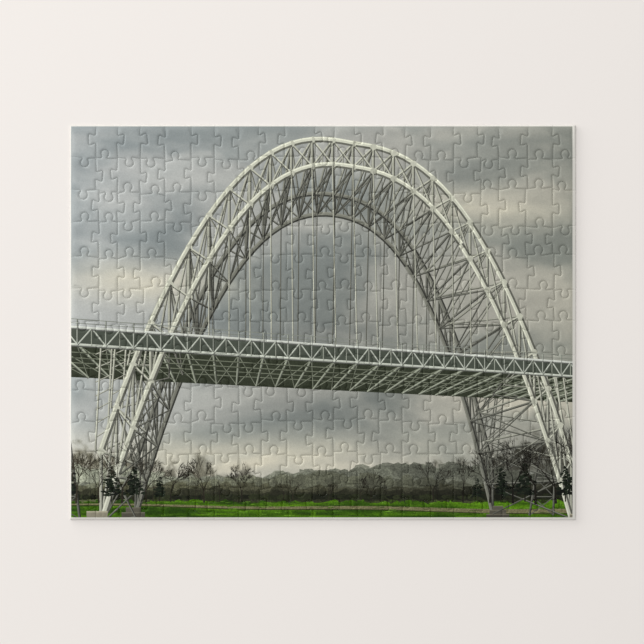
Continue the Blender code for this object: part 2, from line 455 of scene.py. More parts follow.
def draw_rib(side, light):
    """One rib of the arch: two heavy chords and the lattice between them."""
    stops = panel_points()
    heavy, fine = shaded(STEEL, light), shaded(STEEL, light * 0.9)
    for a, b in zip(stops, stops[1:]):
        middle = (a + b) / 2
        for chord in (low_chord, high_chord):
            for start, end in ((a, middle), (middle, b)):
                bar(rib_point(start, side, chord), rib_point(end, side, chord), RIB_CHORD, heavy, 0.6)
        for start, end in ((a, b), (b, a)):
            bar(rib_point(start, side, low_chord), rib_point(end, side, high_chord), RIB_LATTICE, fine)
        crossing = rib_point(middle, side, lambda x: (low_chord(x) + high_chord(x)) / 2)
        bar(crossing, rib_point(middle, side, low_chord), RIB_STAY, fine)
    for x in stops:
        low, high = rib_point(x, side, low_chord), rib_point(x, side, high_chord)
        bar(low, high, RIB_POST, fine, 0.2)
        if side < 0:
            gusset(low, GUSSET_REACH, fine, 0.8)
            gusset(high, GUSSET_REACH, shaded(STEEL, light * 0.96), 0.8)


def draw_bracing():
    """The struts and diagonals that tie the two ribs together."""
    stops = panel_points()
    for a, b in zip(stops, stops[1:]):
        middle = (a + b) / 2
        for chord, light in ((low_chord, 0.52), (high_chord, 0.74)):
            colour = shaded(STEEL, light)
            hub = (middle, 0, chord(middle))
            for side, dimmed in ((-1, 1.0), (1, 0.85)):
                for x in (a, b):
                    bar(rib_point(x, side, chord), hub, HUB_BAR, shaded(colour, dimmed))
            bar(rib_point(a, -1, chord), rib_point(a, 1, chord), RIB_TIE, colour)
        dark = shaded(STEEL, 0.56)
        for side in (-1, 1):
            bar(rib_point(a, side, low_chord), rib_point(a, -side, high_chord), CROSS_STAY, dark)


def upright_plate(left, right, low, high, y, colour, nearer):
    """A plate that stands along the bridge."""
    corners = [(left, y, low), (right, y, low), (right, y, high), (left, y, high)]
    plate(corners, colour, nearer)


def draw_deck():
    """The deck: a dark underside with pale girders, and a railed lattice at its near side."""
    low, high, near = DECK - DECK_DEEP, DECK, -DECK_SIDE
    count = round(DECK_REACH / DECK_PANEL)
    for panel in range(-count, count):
        a, b = panel * DECK_PANEL, (panel + 1) * DECK_PANEL
        m = (a + b) / 2
        under = [(a, near, low), (b, near, low), (b, -near, low), (a, -near, low)]
        plate(under, UNDERSIDE, 0.0, 0.6)
        bar((a, near, low), (a, -near, low), *CROSS_GIRDER)
        for start, end in ((a, b), (b, a)):
            bar((start, near, low), (end, -near, low), *CROSS_BRACE)
        for y in STRINGERS_AT:
            bar((a, y, low), (b, y, low), *STRINGER)
        upright_plate(a, b, low, high, near, SIDE_PLATE, 12)
        bar((a, near, low), (b, near, low), *LOW_RIM)
        bar((a, near, high), (b, near, high), *HIGH_RIM)
        for x in (a, b):
            bar((x, near, low), (m, near, high), *LATTICE)
        bar((m, near, low), (m, near, high), *STRUT)
        bar((a, near, low), (a, near, high + 1.5), *POST)
        bar((a, near, high + 1.5), (b, near, high + 1.5), *RAIL)
        bar((a, near, high + 0.8), (b, near, high + 0.8), *LOW_RAIL)


def draw_hangers():
    """What carries the deck: hangers under the arch, and braced columns on its feet."""
    low = DECK - DECK_DEEP
    for side, light in ((1, 0.56), (-1, 0.98)):
        colour = shaded(STEEL, light)
        y = side * DECK_SIDE * 0.96
        for x in panel_points():
            foot = rib_point(x, side, high_chord)
            if low_chord(x) > DECK + 2:
                bar(rib_point(x, side, low_chord), (x, y, DECK), HANGER, colour, 0.2)
            elif foot[2] < DECK - 5:
                for offset in (-0.9, 0.9):
                    bar((x + offset, foot[1], foot[2]), (x + offset, y, low), COLUMN, colour)
                levels = np.linspace(foot[2], low, 1 + max(2, round((low - foot[2]) / 2.2)))
                dim = shaded(colour, 0.85)
                for below, above in zip(levels, levels[1:]):
                    bar((x - 0.9, foot[1], below), (x + 0.9, y, above), COLUMN_LACING, dim)


def draw_trestle(x):
    """A braced tower under the deck beyond the arch, wider at its foot."""
    top = DECK - DECK_DEEP

    def leg(way, height):
        """A place on one of the tower's legs."""
        share = height / top
        return (x + way * (3.8 - 2.3 * share), side * DECK_SIDE * (1.35 - 0.4 * share), height)

    levels = np.linspace(-0.5, top, 7)
    for side, light in ((1, 0.5), (-1, 0.92)):
        colour = shaded(STEEL, light)
        for way in (-1, 1):
            bar(leg(way, levels[0]), leg(way, top), TRESTLE_LEG, colour, 0.3)
        for below, above in zip(levels, levels[1:]):
            for way in (-1, 1):
                bar(leg(way, below), leg(-way, above), TRESTLE_LACING, shaded(colour, 0.9))
            bar(leg(-1, above), leg(1, above), TRESTLE_TIE, colour)


def draw_footing(x):
    """The stepped stone block under each foot of the arch, with a pale cap on each step."""
    for side, light in ((1, 0.62), (-1, 1.0)):
        front = rib_point(x, side, low_chord)[1] - 2.4
        for step in range(3):
            half, high = 3.4 - 0.9 * step, STEP_HEIGHT * step + 0.1
            block = (STEP_HEIGHT * step - 1.0, light * (0.84 + 0.08 * step), 0.5)
            cap = (high - 0.22, light * 1.2, 0.7)
            for foot, shade, nearer in (block, cap):
                nearer += 0.01 * step
                upright_plate(x - half, x + half, foot, high, front, shaded(STONE, shade), nearer)


draw_rib(1, 0.6)
draw_rib(-1, 1.0)
draw_bracing()
draw_deck()
draw_hangers()
for x in TRESTLES_AT:
    draw_trestle(x)
for x in (-HALF_SPAN, HALF_SPAN):
    draw_footing(x)

# The printed picture: the woods
# Bare trees, a few evergreens, a hedge along the horizon and a path over the meadow, drawn by
# seeded chance in the picture's own millimetres. Their depths, in metres, order them only.
WOODS_SEED = 4105
BARK = (34, 31, 23)
CROWN_HAZE = (62, 60, 48)
PINE_TRUNK = (30, 28, 20)
NEEDLES = (22, 29, 19)
HEDGE_FOOT = (34, 36, 23)
HEDGE = (33, 37, 22)
PATH = (116, 112, 80)
VERGE = (48, 58, 22)
TUFT = (70, 98, 30)
FAR_ROWS = (
    (21.0, (118, 121, 106)),
    (14.0, (98, 100, 83)),
    (8.0, (72, 72, 55)),
    (4.0, (44, 45, 32)),
)
FAR_WOODS_DEPTH = 400
HEDGE_DEPTH = 390
PATH_DEPTH = 380
TUFT_DEPTH = 370
SMALL_TREE_DEPTH = 300
EVERGREEN_DEPTH = 72
BARE_TREE_DEPTH = 70
PATH_AT_LEFT = -134.5
SMALL_TREES = 16
PATH_STEPS = 40
TUFTS = 180
BARE_TREES = (
    (-183, 46), (-166, 39), (-149, 44), (-131, 34), (-113, 30), (-88, 38), (-60, 28), (-22, 22),
    (36, 25), (82, 30), (104, 33), (124, 40), (141, 47), (158, 56), (173, 49), (186, 55),
)
EVERGREENS = (
    (-188, 27), (-157, 24), (-140, 25), (-121, 17), (132, 24), (150, 27), (180, 25), (115, 16),
)
PINE_TIERS = 13
woods = random.Random(WOODS_SEED)


def woods_light(x):
    """The woods are paler at the left, where the sky is brighter."""
    return 1 - 0.36 * x / RIGHT_EDGE


def blob(depth, x, y, wide, tall, colour, cover=1.0, corners=12, rough=0.25):
    """A ragged round patch."""
    outline = []
    for corner in range(corners):
        turn = 2 * math.pi * corner / corners
        reach = 1 + woods.uniform(-rough, rough)
        outline.append((x + wide * reach * math.cos(turn), y + tall * reach * math.sin(turn)))
    paint(depth, outline, colour, cover, WOODS_GRAIN)


def branch(depth, place, turn, length, wide, colour, forks):
    """A branch with two or three thinner ones at its end, and so on to pointed twigs."""
    end = (place[0] + length * math.cos(turn), place[1] + length * math.sin(turn))
    thin = wide * 0.72 if forks else 0.0
    stroke(depth, place, end, wide, thin, colour, 1.0, WOODS_GRAIN)
    if forks == 0:
        return
    for _ in range(3 if woods.random() < 0.8 else 2):
        onward = turn + woods.uniform(-0.75, 0.75)
        onward += 0.12 * (math.pi / 2 - onward)
        reach = length * woods.uniform(0.62, 0.95)
        branch(depth, end, onward, reach, max(thin * woods.uniform(0.6, 0.8), 0.26), colour, forks - 1)


def bare_tree(depth, x, ground, tall, forks):
    """A leafless tree: its finest twigs as a haze, and the branches over it."""
    shade = woods.uniform(0.8, 1.25) * woods_light(x)
    haze = shaded(CROWN_HAZE, shade)
    crowns.append(Crown(x, ground + tall * 0.6, tall * 0.34, tall * 0.38, haze, 0.66))
    upright = math.pi / 2 + woods.uniform(-0.06, 0.06)
    branch(depth, (x, ground - 1), upright, tall * 0.25, tall * 0.036, shaded(BARK, shade), forks)


def evergreen(depth, x, ground, tall):
    """A pine: a bare foot, and loose tiers of needles that narrow to the top."""
    foot, top = (x, ground - 1), (x, ground + tall * 0.9)
    stroke(depth + 0.1, foot, top, tall * 0.04, tall * 0.015, PINE_TRUNK)
    for tier in range(PINE_TIERS):
        up = tier / (PINE_TIERS - 1)
        half = tall * (0.27 * (1 - up) ** 0.7 + 0.02) * woods.uniform(0.6, 1.15)
        aside = woods.uniform(-0.35, 0.35) * half
        for _ in range(7 if up < 0.6 else 4):
            tuft_x = x + aside + woods.uniform(-half, half)
            tuft_y = ground + tall * (0.2 + 0.78 * up + woods.uniform(-0.03, 0.03))
            size = tall * woods.uniform(0.03, 0.06) * (1.15 - 0.5 * up)
            tone = shaded(NEEDLES, woods.uniform(0.5, 1.4))
            blob(depth, tuft_x, tuft_y, size * 1.5, size * 0.75, tone, 1.0, 7, 0.5)


def draw_far_woods():
    """Bare woods up the far side of the valley, paler with distance."""
    for row, (hill, row_colour) in enumerate(FAR_ROWS):
        depth, x, crest = FAR_WOODS_DEPTH - row, LEFT_EDGE - 4, []
        while x < RIGHT_EDGE + 4:
            wide = woods.uniform(3, 7)
            top = HORIZON + hill * (0.85 + 0.25 * math.sin(x / 47 + 1.7 * row))
            top += woods.uniform(-1.2, 1.2)
            crest.append((x, top))
            for _ in range(1 + round(hill / 6)):
                spot_y = woods.uniform(max(HORIZON, top - 7), top)
                tone = shaded(row_colour, woods.uniform(0.8, 1.12) * woods_light(x))
                spot_x = x + woods.uniform(-2, 2)
                blob(depth - 0.2, spot_x, spot_y, wide, wide * 0.7, tone, 0.75, 9, 0.35)
            for _ in range(2):
                foot = x + woods.uniform(-wide, wide) * 0.8
                tip = (foot + woods.uniform(-0.8, 0.8), top + woods.uniform(-1.0, 4.0))
                base = (foot, tip[1] - woods.uniform(4, 8))
                stroke(depth - 0.5, base, tip, 0.4, 0.0, shaded(row_colour, 0.7), 1.0, WOODS_GRAIN)
            x += wide * woods.uniform(0.8, 1.2)
        outline = [(crest[0][0], HORIZON - 1), (crest[-1][0], HORIZON - 1), *reversed(crest)]
        paint(depth, outline, shaded(row_colour, 0.92), 0.9, WOODS_GRAIN)


def paint_box(depth, edges, colour, grain):
    """A level strip of the picture, from its left, lower, right and upper edges."""
    left, low, right, high = edges
    paint(depth, [(left, low), (right, low), (right, high), (left, high)], colour, 1.0, grain)


def draw_hedge():
    """A dark hedge that closes the meadow at the horizon."""
    left, right = LEFT_EDGE - 2, RIGHT_EDGE + 2
    foot, top = HORIZON - 1.2, HORIZON + 1.6
    paint_box(HEDGE_DEPTH, (left, foot, right, top), HEDGE_FOOT, WOODS_GRAIN)
    x = left
    while x < right:
        wide = woods.uniform(2.0, 5.0)
        tone = shaded(HEDGE, woods.uniform(0.6, 1.4))
        tall = woods.uniform(1.2, 2.6)
        blob(HEDGE_DEPTH - 2, x, HORIZON + 0.4, wide, tall, tone, 1.0, 9, 0.3)
        x += wide * woods.uniform(0.7, 1.2)


def draw_path():
    """A pale path over the meadow, with a shaded verge below it, and tufts of grass."""
    shares = [step / PATH_STEPS for step in range(PATH_STEPS + 1)]
    upper = [
        (
            LEFT_EDGE - 2 + (SHEET_WIDTH + 4) * share,
            PATH_AT_LEFT - 4.0 * share + 0.6 * math.sin(13.2 * share),
        )
        for share in shares
    ]
    lower = [(x, y - 1.0 - 2.2 * share) for (x, y), share in zip(upper, shares)]
    verge = [(x, y - 0.7) for x, y in lower]
    for at in range(PATH_STEPS):
        for nearer, over, under, colour in ((0, upper, lower, PATH), (1, lower, verge, VERGE)):
            strip = [over[at], over[at + 1], under[at + 1], under[at]]
            paint(PATH_DEPTH - nearer, strip, colour, 1.0, MEADOW_GRAIN)
    for _ in range(TUFTS):
        x, y = woods.uniform(LEFT_EDGE, RIGHT_EDGE), woods.uniform(BOTTOM_EDGE, HORIZON - 2)
        near = (HORIZON - y) / 15
        tip = (x + woods.uniform(2, 7) * (0.5 + near), y + woods.uniform(-0.2, 0.2))
        tone = shaded(TUFT, woods.uniform(0.45, 1.6))
        wide = 0.3 + 0.5 * near
        stroke(TUFT_DEPTH - near, (x, y), tip, wide, 0.25, tone, 0.8, MEADOW_GRAIN)


draw_far_woods()
draw_hedge()
draw_path()
for _ in range(SMALL_TREES):
    x, tall = woods.uniform(LEFT_EDGE, RIGHT_EDGE), woods.uniform(12, 20)
    bare_tree(SMALL_TREE_DEPTH, x, HORIZON - 0.5, tall, 3)
for x, tall in BARE_TREES:
    bare_tree(BARE_TREE_DEPTH - tall / 3, x, HORIZON - tall * 0.07, tall, 5 if tall > 24 else 4)
for x, tall in EVERGREENS:
    evergreen(EVERGREEN_DEPTH, x, HORIZON - 2.0, tall)

# The printed picture: its paper border
# Bare white paper runs round the picture. The sheet was cut a little off the print, so the border
# is thin at the left and top and broader at the foot and right.
THIN_BORDER = 0.8
LOW_BORDER = 1.6
BROAD_BORDER = 2.2
PAPER_WHITE = (225, 222, 214)
for edges in (
    (LEFT_EDGE, BOTTOM_EDGE, LEFT_EDGE + THIN_BORDER, TOP_EDGE),
    (RIGHT_EDGE - BROAD_BORDER, BOTTOM_EDGE, RIGHT_EDGE, TOP_EDGE),
    (LEFT_EDGE, BOTTOM_EDGE, RIGHT_EDGE, BOTTOM_EDGE + LOW_BORDER),
    (LEFT_EDGE, TOP_EDGE - THIN_BORDER, RIGHT_EDGE, TOP_EDGE),
):
    paint_box(-1.0, edges, PAPER_WHITE, 0.0)

shapes.sort(key=lambda shape: -shape.depth)
shape_boxes = np.array([(*np.min(shape.outline, 0), *np.max(shape.outline, 0)) for shape in shapes])

# The print's finish
# Offset ink under a satin varnish on lightly pebbled paper. The ink's colour is on the mesh, corner
# by corner, and its fourth number says how much fine foliage grain the print has there.
PRINT_COLOURS = "print"
INK_LIGHT = 0.875
FOLIAGE_CONTRAST = 2.4
SPECKLE = 0.10
LEAST_LIGHT = 0.2


def print_finish():
    """Ink with its grain and a fine speckle, under varnish whose gloss varies a little."""
    material, tree, shader = plain_finish("satin_print", 0.46, 0.08)
    ink = tree.nodes.new("ShaderNodeAttribute")
    ink.attribute_name = PRINT_COLOURS
    foliage = sums(tree, "SUBTRACT", noise(tree, 0.8, 5.0), 0.5)
    foliage = sums(tree, "MULTIPLY", foliage, FOLIAGE_CONTRAST)
    speckle = sums(tree, "SUBTRACT", noise(tree, 0.22, 2.0), 0.5)
    grain = sums(tree, "MULTIPLY", foliage, ink.outputs["Alpha"])
    light = sums(tree, "ADD", sums(tree, "MULTIPLY_ADD", speckle, SPECKLE, 1.0), grain)
    tinted = tree.nodes.new("ShaderNodeVectorMath")
    tinted.operation = "SCALE"
    tree.links.new(ink.outputs["Color"], tinted.inputs["Vector"])
    tree.links.new(sums(tree, "MAXIMUM", light, LEAST_LIGHT), tinted.inputs["Scale"])
    tree.links.new(tinted.outputs["Vector"], shader.inputs["Base Color"])
    varnish = noise(tree, 3.0, 3.0)
    tree.links.new(sums(tree, "MULTIPLY_ADD", varnish, 0.16, 0.38), shader.inputs["Roughness"])
    pebbles = noise(tree, 0.45, 2.0)
    lay = noise(tree, 9.0, 1.0)
    roughen(tree, shader, sums(tree, "MULTIPLY_ADD", lay, 2.0, pebbles), 0.012)
    return material


# The die
# Steel rules bent to one plan cut the pasted sheet at a blow. Upright cuts run straight and here and
# there step aside, with a broad flat knob in each row. Each column's level cuts have round knobs.
COLUMNS = 21
ROWS = 12
COLUMN_PITCH = SHEET_WIDTH / COLUMNS
ROW_PITCH = SHEET_HEIGHT / ROWS
KnobStyle = namedtuple("KnobStyle", "neck head reach corner fillet head_steps")
ROUND_KNOB = KnobStyle(4.1, 6.2, 6.9, 3.1, 0.95, 7)
FLAT_KNOB = KnobStyle(5.6, 7.8, 5.1, 1.1, 0.8, 4)
FILLET_STEPS = 3
KNOB_SIZES = (0.94, 1.05)
KNOB_LEAN = math.radians(8)
KNOB_SHIFT = 1.8
KNOB_ROOM = 4.4
KNOBS_UP = 0.62
KNOB_DRAWS = 14
UPRIGHT_DRIFT = 1.5
DRIFT_KEPT = 0.6
STEP_CHANCE = 0.3
STEP_SIZES = (1.0, 2.8)
LEVEL_DRIFT = 1.1
DRIFT_TURN = 0.55
LEVEL_JITTER = 1.5
LEVEL_SLOPE = 1.8
LEAST_STEP = 0.6
CUT_SEED = 334
SAME_POINT = 0.1
QUARTER = math.pi / 2

Knob = namedtuple("Knob", "style x y angle size way")
LevelCut = namedtuple("LevelCut", "start end knob")


def arc(x, y, radius, first_turn, sweep, steps):
    """Points along an arc about (x, y), both its ends included."""
    turns = [first_turn + sweep * step / steps for step in range(steps + 1)]
    return [(x + radius * math.cos(turn), y + radius * math.sin(turn)) for turn in turns]


def knob_outline(style):
    """A knob's outline in its own axes, x along the cut and y out of it, from the cut and back."""
    base_x = style.neck / 2 + style.fillet
    corner_x, corner_y = style.head / 2 - style.corner, style.reach - style.corner
    run, rise = base_x - corner_x, corner_y - style.fillet
    facing = math.acos((style.fillet + style.corner) / math.hypot(run, rise))
    sweep = QUARTER + math.atan2(rise, run) - facing
    left = arc(-base_x, style.fillet, style.fillet, -QUARTER, sweep, FILLET_STEPS)
    left += arc(-corner_x, corner_y, style.corner, QUARTER + sweep, -sweep, style.head_steps)
    return left + [(-x, y) for x, y in reversed(left)]


def on_sheet(knob, along, out):
    """A place on the sheet, from its distance along the cut and out of it."""
    along *= knob.size
    out *= knob.size * knob.way
    cosine, sine = math.cos(knob.angle), math.sin(knob.angle)
    return (knob.x + along * cosine - out * sine, knob.y + along * sine + out * cosine)


def knob_points(knob):
    """The knob's outline on the sheet."""
    return [on_sheet(knob, *point) for point in knob_outline(knob.style)]


def discs(knob):
    """Discs that cover the knob, its neck and the corners of its head, as (place, radius)."""
    style = knob.style
    corner_x, corner_y = style.head / 2 - style.corner, style.reach - style.corner
    corners = [(on_sheet(knob, x, corner_y), style.corner) for x in (-corner_x, corner_x)]
    return [(on_sheet(knob, 0.0, style.reach / 2), style.neck / 2), *corners]


def room_between(knob, others):
    """The least room between a knob and the knobs around it."""
    return min(
        math.dist(place, other_place) - radius - other_radius
        for place, radius in discs(knob)
        for other in others
        for other_place, other_radius in discs(other)
    )


def draw_uprights(die):
    """Where each upright cut stands in each row: straight, with steps aside here and there."""
    places = {(0, row): LEFT_EDGE for row in range(ROWS)}
    places.update({(COLUMNS, row): RIGHT_EDGE for row in range(ROWS)})
    drift = 0.0
    for cut in range(1, COLUMNS):
        drift = DRIFT_KEPT * drift + die.uniform(-UPRIGHT_DRIFT, UPRIGHT_DRIFT)
        step = 0.0
        for row in range(ROWS):
            if die.random() < STEP_CHANCE:
                step = 0.0 if step else die.choice((-1, 1)) * die.uniform(*STEP_SIZES)
            places[cut, row] = LEFT_EDGE + cut * COLUMN_PITCH + drift + step
    return places


def draw_level_cuts(die, uprights):
    """Every level cut between two pieces of a column, with its knob near its middle."""
    cuts = {}
    for line in range(1, ROWS):
        phase = die.uniform(0, 2 * math.pi)
        for column in range(COLUMNS):
            left = max(uprights[column, line - 1], uprights[column, line])
            right = min(uprights[column + 1, line - 1], uprights[column + 1, line])
            middle = BOTTOM_EDGE + line * ROW_PITCH
            middle += LEVEL_DRIFT * math.sin(phase + DRIFT_TURN * column)
            middle += die.uniform(-LEVEL_JITTER, LEVEL_JITTER)
            start, end = (middle + LEVEL_SLOPE * die.uniform(-1, 1) ** 3 for _ in range(2))
            if column and abs(start - cuts[column - 1, line].end) < LEAST_STEP:
                start = cuts[column - 1, line].end
            shift = min(KNOB_SHIFT, max((right - left) / 2 - KNOB_ROOM, 0.0)) * die.uniform(-1, 1)
            lean, size = die.uniform(-KNOB_LEAN, KNOB_LEAN), die.uniform(*KNOB_SIZES)
            way = 1 if die.random() < KNOBS_UP else -1
            knob = Knob(ROUND_KNOB, (left + right) / 2 + shift, middle, lean, size, way)
            cuts[column, line] = LevelCut(start, end, knob)
    return cuts


def heights_at(level_cuts, cut, line):
    """The heights where the level cuts on the left and on the right of an upright cut meet it."""
    if line in (0, ROWS):
        return (BOTTOM_EDGE + line * ROW_PITCH,) * 2
    left, right = level_cuts.get((cut - 1, line)), level_cuts.get((cut, line))
    return (left.end if left else right.start, right.start if right else left.end)


def draw_upright_knobs(die, uprights, level_cuts):
    """Every knob on the upright cuts: the draw with the most room around it, out of several."""
    knobs = {}
    for cut in range(1, COLUMNS):
        for row in range(ROWS):
            corners = ((cut - 1, row), (cut, row), (cut - 1, row + 1), (cut, row + 1))
            near = [level_cuts[corner].knob for corner in corners if corner in level_cuts]
            if cut > 1:
                near.append(knobs[cut - 1, row])
            low, high = max(heights_at(level_cuts, cut, row)), min(heights_at(level_cuts, cut, row + 1))
            draws = []
            for _ in range(KNOB_DRAWS):
                y = (low + high) / 2 + die.uniform(-KNOB_SHIFT, KNOB_SHIFT)
                angle = QUARTER + die.uniform(-KNOB_LEAN, KNOB_LEAN)
                size, way = die.uniform(*KNOB_SIZES), die.choice((-1, 1))
                draws.append(Knob(FLAT_KNOB, uprights[cut, row], y, angle, size, way))
            knobs[cut, row] = max(draws, key=lambda knob: room_between(knob, near))
    return knobs


die = random.Random(CUT_SEED)
uprights = draw_uprights(die)
level_cuts = draw_level_cuts(die, uprights)
upright_knobs = draw_upright_knobs(die, uprights, level_cuts)
turns = {(cut, line): die.choice((0, 1)) for cut in range(COLUMNS + 1) for line in range(ROWS + 1)}


def crossing(cut, line):
    """An upright cut where level cuts meet it: their labelled ends and its step aside, in order."""
    below_x, above_x = uprights[cut, max(line - 1, 0)], uprights[cut, min(line, ROWS - 1)]
    heights = heights_at(level_cuts, cut, line)
    turn_y, step = heights[turns[cut, line]], abs(above_x - below_x)
    stops = [(0.0, None, (below_x, turn_y)), (step, None, (above_x, turn_y))]
    for side, y, outer in zip(("left", "right"), heights, (min, max)):
        x = outer(below_x, above_x)
        if y < turn_y:
            stops.append((y - turn_y, (side, line), (below_x, y)))
        elif y > turn_y:
            stops.append((step + y - turn_y, (side, line), (above_x, y)))
        else:
            stops.append((abs(x - below_x), (side, line), (x, y)))
    return [(label, place) for _, label, place in sorted(stops, key=lambda stop: stop[0])]


def upright_line(cut):
    """A whole upright cut from the sheet's bottom to its top, as labels and places."""
    line = []
    for row in range(ROWS):
        line += crossing(cut, row)
        if (cut, row) in upright_knobs:
            line += [(None, place) for place in knob_points(upright_knobs[cut, row])]
    return line + crossing(cut, ROWS)


upright_lines = [upright_line(cut) for cut in range(COLUMNS + 1)]


def upright_path(cut, start, end):
    """The part of an upright cut from the end of one level cut to the end of another."""
    labels = [label for label, _ in upright_lines[cut]]
    first, last = sorted((labels.index(start), labels.index(end)))
    path = [place for _, place in upright_lines[cut][first : last + 1]]
    return path if labels[first] == start else path[::-1]


def level_knob(column, line):
    """The knob of a level cut, from left to right. The sheet's own edges have none."""
    return knob_points(level_cuts[column, line].knob) if (column, line) in level_cuts else []


def piece_outline(column, row):
    """The cuts round one piece, anticlockwise."""
    outline = level_knob(column, row)
    outline += upright_path(column + 1, ("left", row), ("left", row + 1))
    outline += reversed(level_knob(column, row + 1))
    outline += upright_path(column, ("right", row + 1), ("right", row))
    return [point for at, point in enumerate(outline) if math.dist(point, outline[at - 1]) > SAME_POINT]


def inset(outline, distance, at_border=True):
    """The outline moved inwards, and along the sheet's border only if that is wanted."""
    moved = []
    for at, (x, y) in enumerate(outline):
        before, after = outline[at - 1], outline[(at + 1) % len(outline)]
        normals = []
        for start, end in ((before, (x, y)), ((x, y), after)):
            length = math.dist(start, end)
            normals.append(((start[1] - end[1]) / length, (end[0] - start[0]) / length))
        (ax, ay), (bx, by) = normals
        share = distance / max(1 + ax * bx + ay * by, 0.5)
        stays_x = not at_border and math.isclose(abs(x), RIGHT_EDGE, abs_tol=1e-6)
        stays_y = not at_border and math.isclose(abs(y), TOP_EDGE, abs_tol=1e-6)
        new_x = x if stays_x else x + (ax + bx) * share
        moved.append((new_x, y if stays_y else y + (ay + by) * share))
    return moved


# The pieces
# 252 pieces, each with its printed face rolled down at the edges by the die, its cut walls and its
# grey back. They lie in blocks of six, three across and two up, as they do in the solids.
BLOCK_COLUMNS = 3
BLOCK_ROWS = 2
CUT_WIDTH = 0.04
ROLL_STEPS = (0.3, 0.7, 1.2)
MOST_TILT = 0.003
# Each piece's whole print is made a little lighter or darker at random. This is painted light, as if
# each piece caught the light a little differently.
PAINTED_LIGHT_SPREAD = 0.012
TONE_PITCH = 1.6
MERGE = 0.012
LEAST_SHOWN = 0.035
LAY_SEED = 77
CUT_SLOT, BACK_SLOT = 1, 2
lay_of_pieces = random.Random(LAY_SEED)


def inside(outline, spots):
    """Which of the spots lie inside an outline."""
    ax, ay = np.array(outline).T
    bx, by = np.roll(ax, -1), np.roll(ay, -1)
    x, y = spots[:, :1], spots[:, 1:]
    on_left = ((y - ay) * (bx - ax) - (x - ax) * (by - ay)) * np.sign(by - ay) > 0
    return np.sum(((ay > y) != (by > y)) & on_left, 1) % 2 == 1


def layers_over(places, corners, nearby):
    """What shapes leave clear of each triangle, the ink they add to it, and which of them show."""
    (ax, ay), (bx, by), (cx, cy) = places[corners].transpose(1, 2, 0)
    areas = np.abs((bx - ax) * (cy - ay) - (by - ay) * (cx - ax)) / 2
    spots = places[corners].mean(1)
    x, y = spots.T
    clear, added, showing = np.ones((len(spots), 1)), np.zeros((len(spots), 4)), []
    for at in nearby[::-1]:
        shape, (low_x, low_y, high_x, high_y) = shapes[at], shape_boxes[at]
        in_box = (x > low_x) & (x < high_x) & (y > low_y) & (y < high_y)
        under = np.flatnonzero(in_box & (clear[:, 0] > 0))
        under = under[inside(shape.outline, spots[under])]
        if (areas[under] * clear[under, 0]).sum() * shape.cover > LEAST_SHOWN:
            showing.append(at)
        added[under] += clear[under] * shape.cover * (*shape.colour, shape.grain)
        clear[under] *= 1 - shape.cover
    return clear, added, showing[::-1]


def from_printer(colours):
    """Colours as a printer states them made linear light, as Blender stores them."""
    share = np.clip(colours / 255, 0, 1)
    return np.where(share <= 0.04045, share / 12.92, ((share + 0.055) / 1.055) ** 2.4)


def distances_to(outline, points):
    """How far each point lies from the outline."""
    starts = np.array(outline)
    along = np.roll(starts, -1, 0) - starts
    away = points[:, None] - starts[None]
    share = np.clip((away * along).sum(2) / (along * along).sum(1), 0, 1)
    return np.linalg.norm(away - share[..., None] * along, axis=2).min(1)


def inner_points(outline):
    """A grid of points, clear of a piece's rolled edge, that carries the soft tones."""
    lines = [
        np.arange(math.ceil(low / TONE_PITCH), high / TONE_PITCH) * TONE_PITCH
        for low, high in zip(np.min(outline, 0), np.max(outline, 0))
    ]
    grid = np.stack(np.meshgrid(*lines), -1).reshape(-1, 2)
    return grid[distances_to(outline, grid) > ROLL_WIDTH + 0.2]


def cut_up(outline, nearby):
    """A piece cut into triangles along the shapes' outlines, as (places, corners)."""
    rings = [outline, *(inset(outline, distance) for distance in ROLL_STEPS)]
    rings += [shapes[at].outline for at in nearby]
    points, edges = [], []
    for ring in rings:
        first = len(points)
        edges += [(first + at, first + (at + 1) % len(ring)) for at in range(len(ring))]
        points += ring
    points += [tuple(point) for point in inner_points(outline)]
    made = delaunay_2d_cdt([Vector(point) for point in points], edges, [], 0, MERGE, False)
    places, corners = np.array(made[0]), np.array(made[2])
    corners = corners[inside(outline, places[corners].mean(1))]
    used, corners = np.unique(corners, return_inverse=True)
    return places[used], corners.reshape(-1, 3)


def printed_face(outline):
    """A piece's printed face: its points, its triangles, and the ink at each corner."""
    low, high = np.min(outline, 0), np.max(outline, 0)
    nearby = np.flatnonzero((shape_boxes[:, :2] < high).all(1) & (shape_boxes[:, 2:] > low).all(1))
    nearby = layers_over(*cut_up(outline, nearby), nearby)[2]
    places, corners = cut_up(outline, nearby)
    clear, added, _ = layers_over(places, corners, nearby)
    under = ground_tone(places[:, 0], places[:, 1])[corners]
    return places, corners, under * clear[:, None] + added[:, None]


def rolled_heights(outline, places):
    """The face's height at each point: slightly tilted, and rolled down along the cuts."""
    tilt = [lay_of_pieces.uniform(-MOST_TILT, MOST_TILT) for _ in range(2)]
    level = FACE_HEIGHT + (places - np.mean(outline, 0)) @ np.array(tilt)
    into_roll = np.clip(1 - distances_to(outline, places) / ROLL_WIDTH, 0, 1)
    to_border = np.min(np.abs(np.abs(places) - (RIGHT_EDGE, TOP_EDGE)), 1)
    into_rim = np.clip(1 - to_border / RIM_WIDTH, 0, 1)
    return level - np.maximum(ROLL_DROP * into_roll**2, RIM_DROP * into_rim**2)


